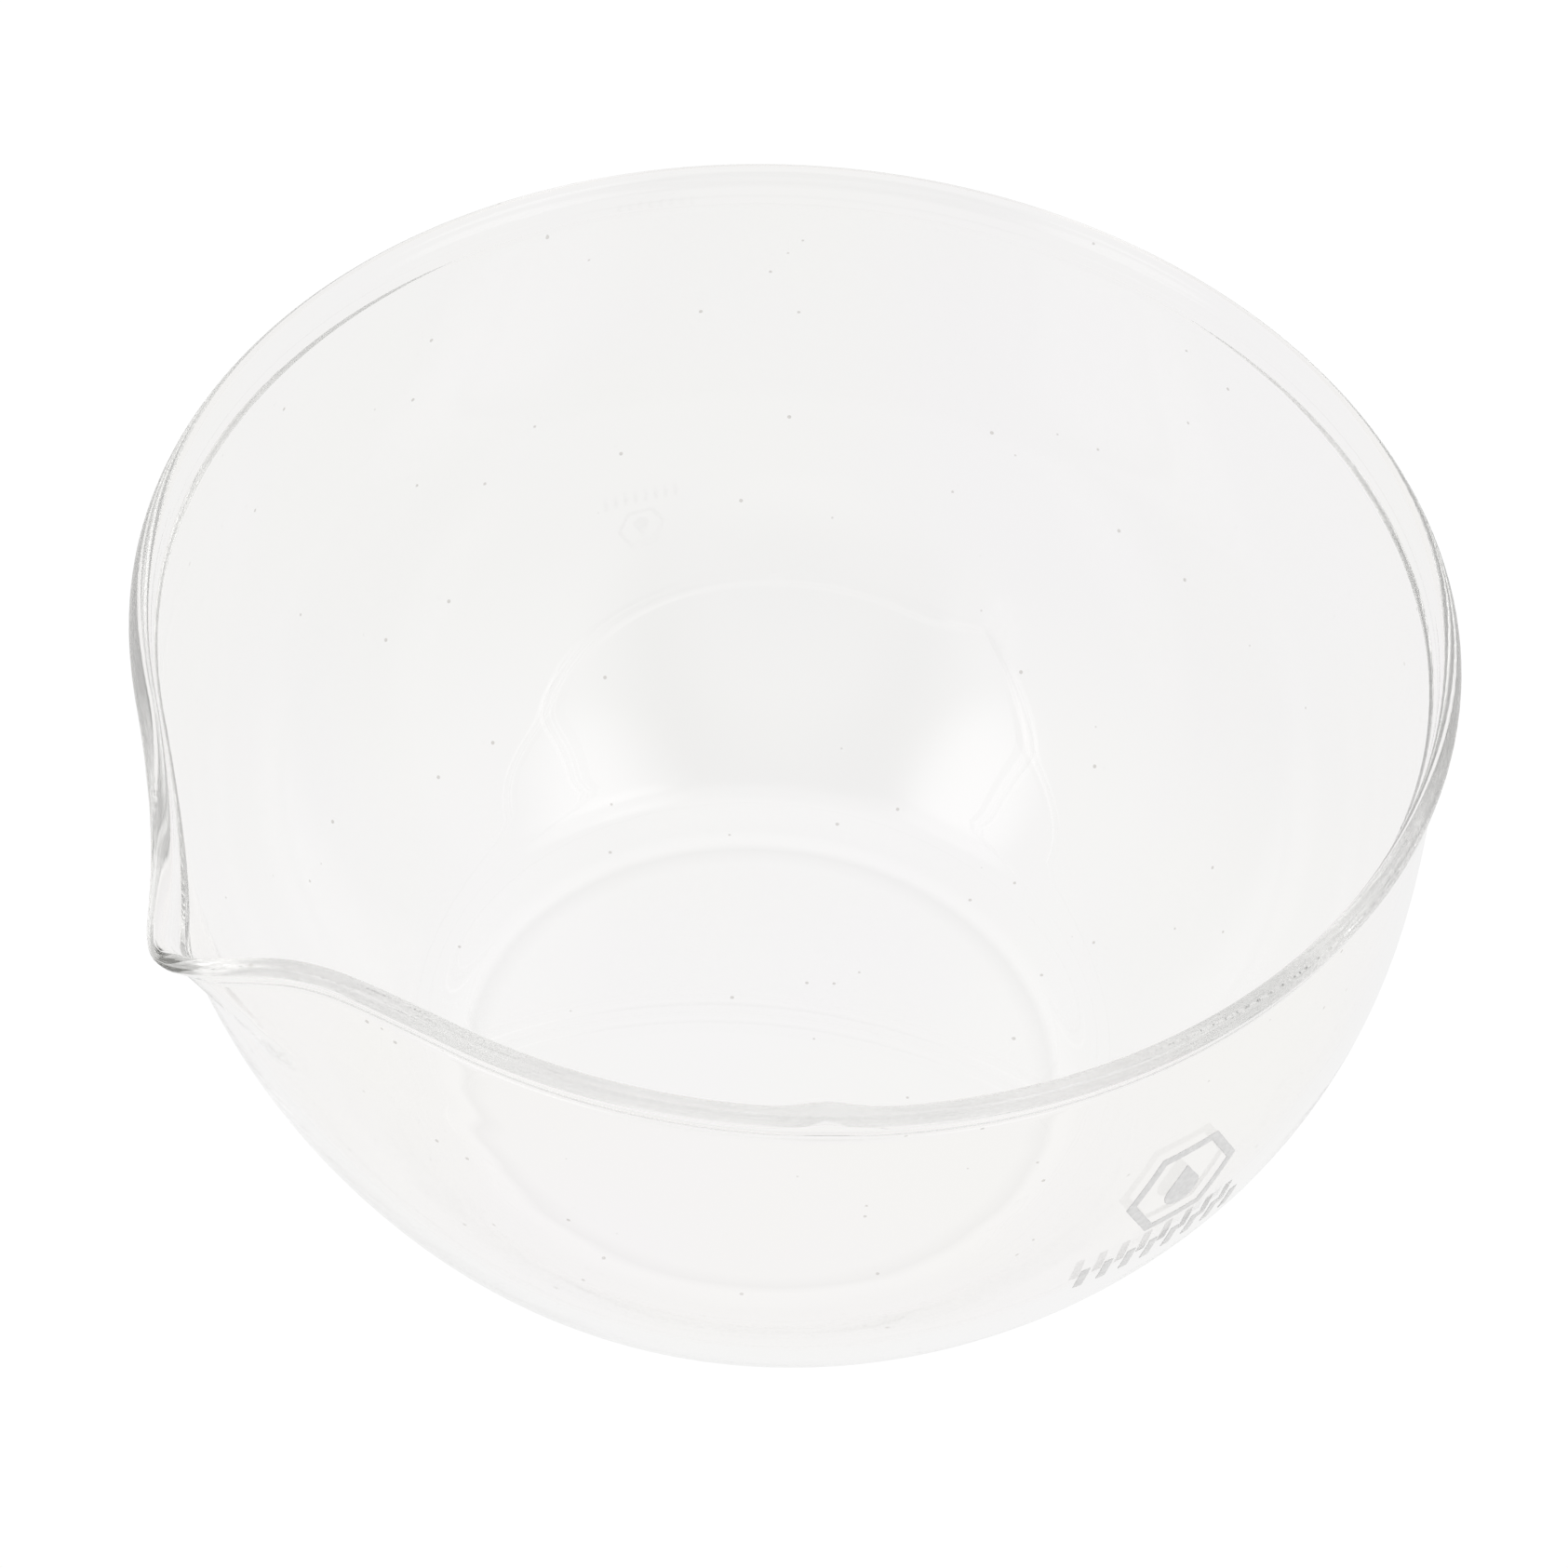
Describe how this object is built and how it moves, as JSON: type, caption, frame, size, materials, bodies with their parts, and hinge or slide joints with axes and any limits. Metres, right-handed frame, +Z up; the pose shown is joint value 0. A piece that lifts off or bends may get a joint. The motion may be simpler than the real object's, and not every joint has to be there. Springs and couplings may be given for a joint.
{
  "type": "mixing bowl",
  "caption": "Clear glass mixing bowl with a flat base, a fire-polished rim, a pinched pouring spout and a small printed enamel mark.",
  "frame": {"origin": "centre of the base underside, on the bowl's axis", "axes": "+Z up along the bowl's axis, spout towards -X, printed mark on the outside towards -Y"},
  "size_m": [0.1301, 0.12, 0.065],
  "materials": {
    "clear_glass": "clear, fire-polished borosilicate",
    "enamel_print": "matt fired enamel, pale grey"
  },
  "bodies": {
    "root": {"glass_bowl": "clear_glass", "print_frame": "enamel_print", "print_drop": "enamel_print", "print_bar_1": "enamel_print", "print_bar_2": "enamel_print", "print_bar_3": "enamel_print", "print_bar_4": "enamel_print", "print_bar_5": "enamel_print", "print_bar_6": "enamel_print", "print_bar_7": "enamel_print", "print_bar_8": "enamel_print"}
  },
  "joints": []
}
